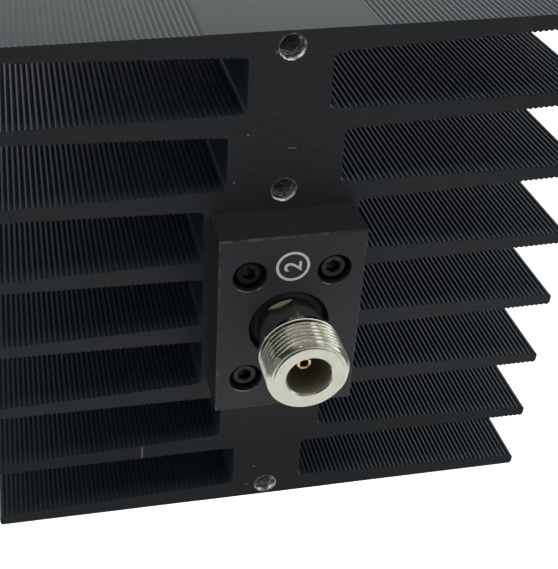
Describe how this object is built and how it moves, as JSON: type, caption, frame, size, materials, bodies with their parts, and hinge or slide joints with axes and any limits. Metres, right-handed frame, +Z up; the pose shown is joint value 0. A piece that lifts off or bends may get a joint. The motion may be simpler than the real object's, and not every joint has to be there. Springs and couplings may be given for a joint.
{
  "type": "coaxial attenuator",
  "caption": "Fin-cooled high-power coaxial attenuator: resistive cards in a double-sided finned heat sink, with a threaded jack on a block at each end.",
  "frame": {"origin": "centre of the underside, midway along the heat sink, under the connectors' axis", "axes": "+Z up, +Y from the output jack to the input jack along the heat sink, +X across the fins"},
  "size_m": [0.122, 0.231, 0.1143],
  "materials": {
    "heat_sink_anodised": "black anodised, satin, extruded",
    "block_anodised": "black anodised, milled, satin",
    "black_screw": "black oxide",
    "plated_shell": "bright plated brass",
    "gold_contact": "gold plated",
    "white_insulator": "machined fluoroplastic",
    "brass_bushing": "turned brass",
    "carrier_metal": "milled, bare",
    "steel_screw": "stainless",
    "card_ceramic": "fired ceramic with a dark resistive film",
    "gold_ribbon": "gold-plated copper ribbon"
  },
  "bodies": {
    "root": {"heat_sink": "heat_sink_anodised", "out_block": "block_anodised", "out_block_screws": "black_screw", "out_connector_shell": "plated_shell", "out_centre_contact": "gold_contact", "out_bead": "white_insulator", "out_bushing": "brass_bushing", "in_block": "block_anodised", "in_block_screws": "black_screw", "in_connector_shell": "plated_shell", "in_centre_contact": "gold_contact", "in_bead": "white_insulator", "in_bushing": "brass_bushing", "carrier_lower": "carrier_metal", "carrier_upper": "carrier_metal", "carrier_screws": "steel_screw", "output_card": "card_ceramic", "middle_card": "card_ceramic", "input_card": "card_ceramic", "output_tab": "gold_ribbon", "first_link": "gold_ribbon", "second_link": "gold_ribbon", "input_tab": "gold_ribbon"}
  },
  "joints": []
}
